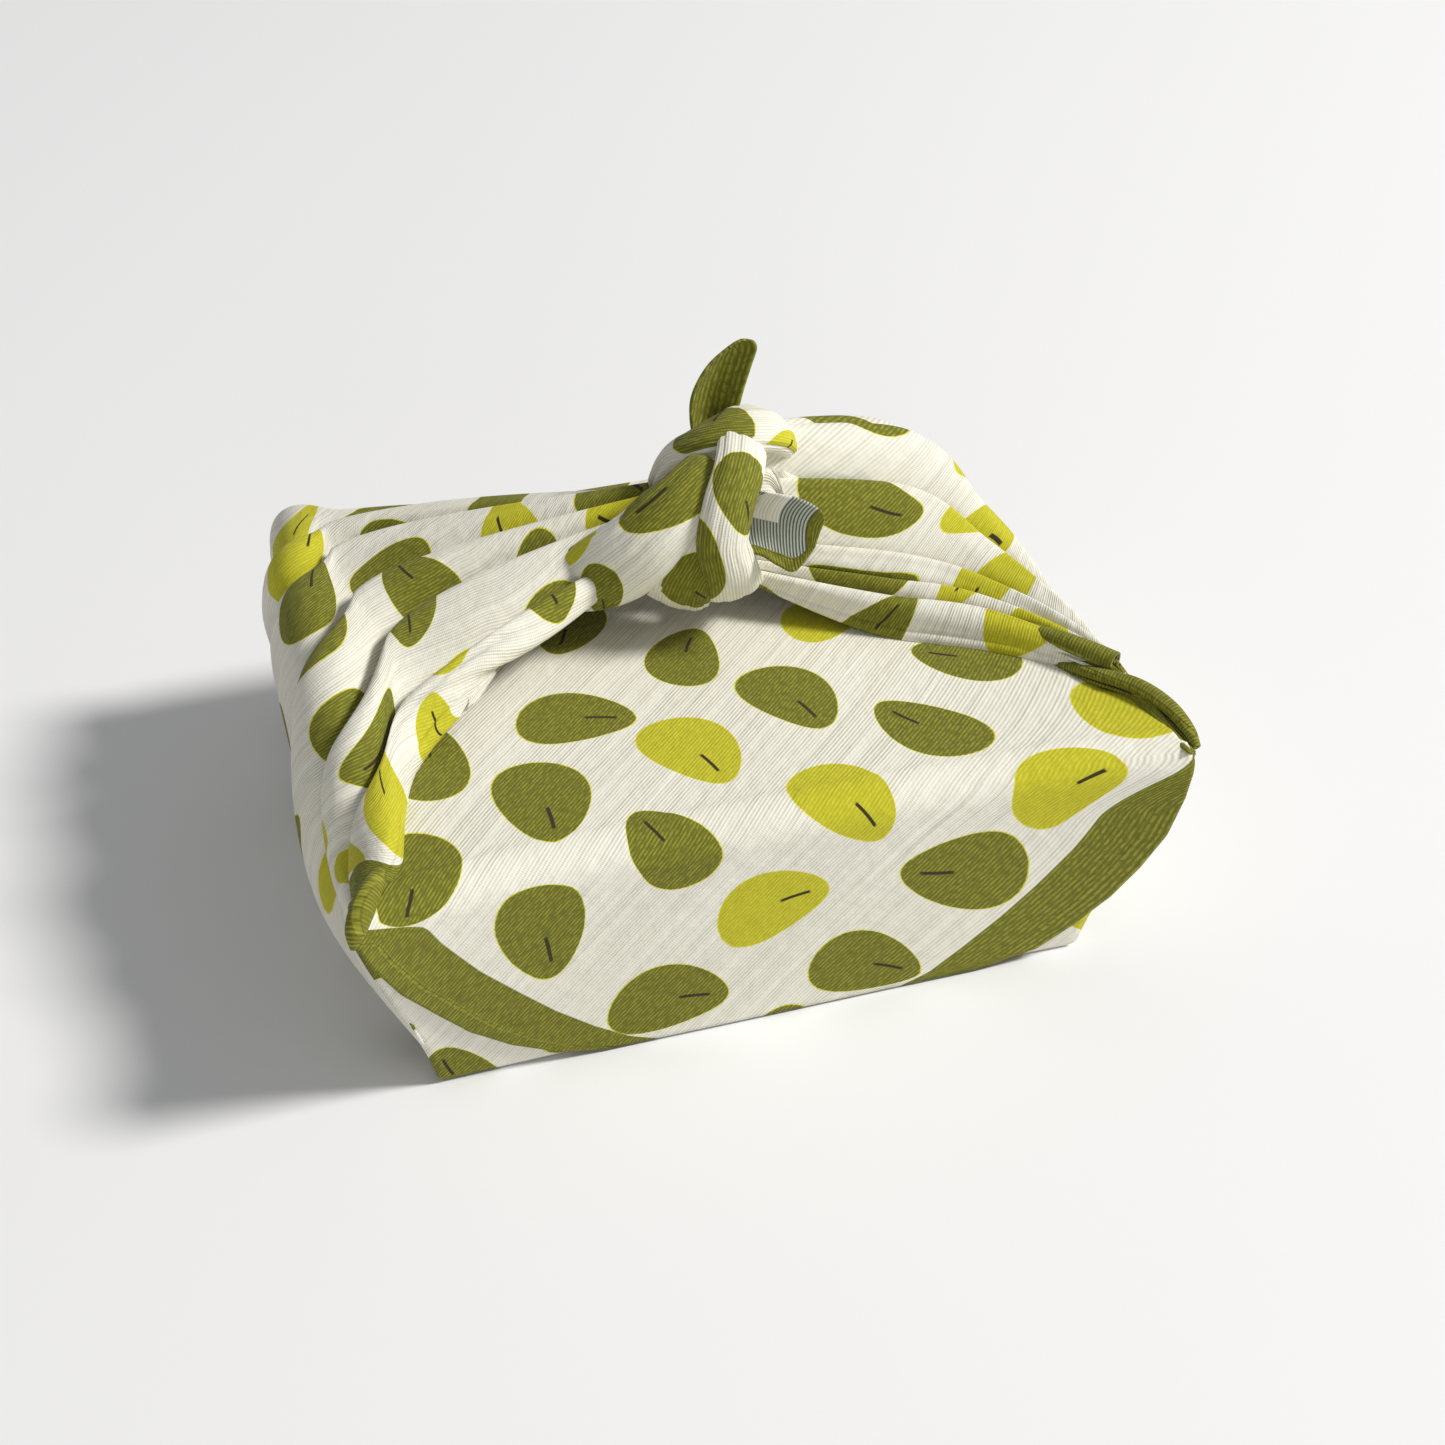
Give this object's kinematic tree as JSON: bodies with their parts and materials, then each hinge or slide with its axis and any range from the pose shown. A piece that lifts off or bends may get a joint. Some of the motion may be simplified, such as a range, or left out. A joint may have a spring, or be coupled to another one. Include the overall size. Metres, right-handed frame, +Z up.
{
  "type": "furoshiki wrap",
  "caption": "Square cotton wrapping cloth folded round a flat square parcel, its two side corners gathered and tied in a square knot on top.",
  "frame": {"origin": "middle of the flat underside, on the surface it rests on", "axes": "+Z up, -Y towards the front with the hanging flap, +X to the right along the front"},
  "size_m": [0.2533, 0.2111, 0.155],
  "materials": {
    "cream_cloth": "ribbed plain weave, cream with printed green spots and a green border"
  },
  "bodies": {
    "root": {"furoshiki": "cream_cloth"}
  },
  "joints": []
}
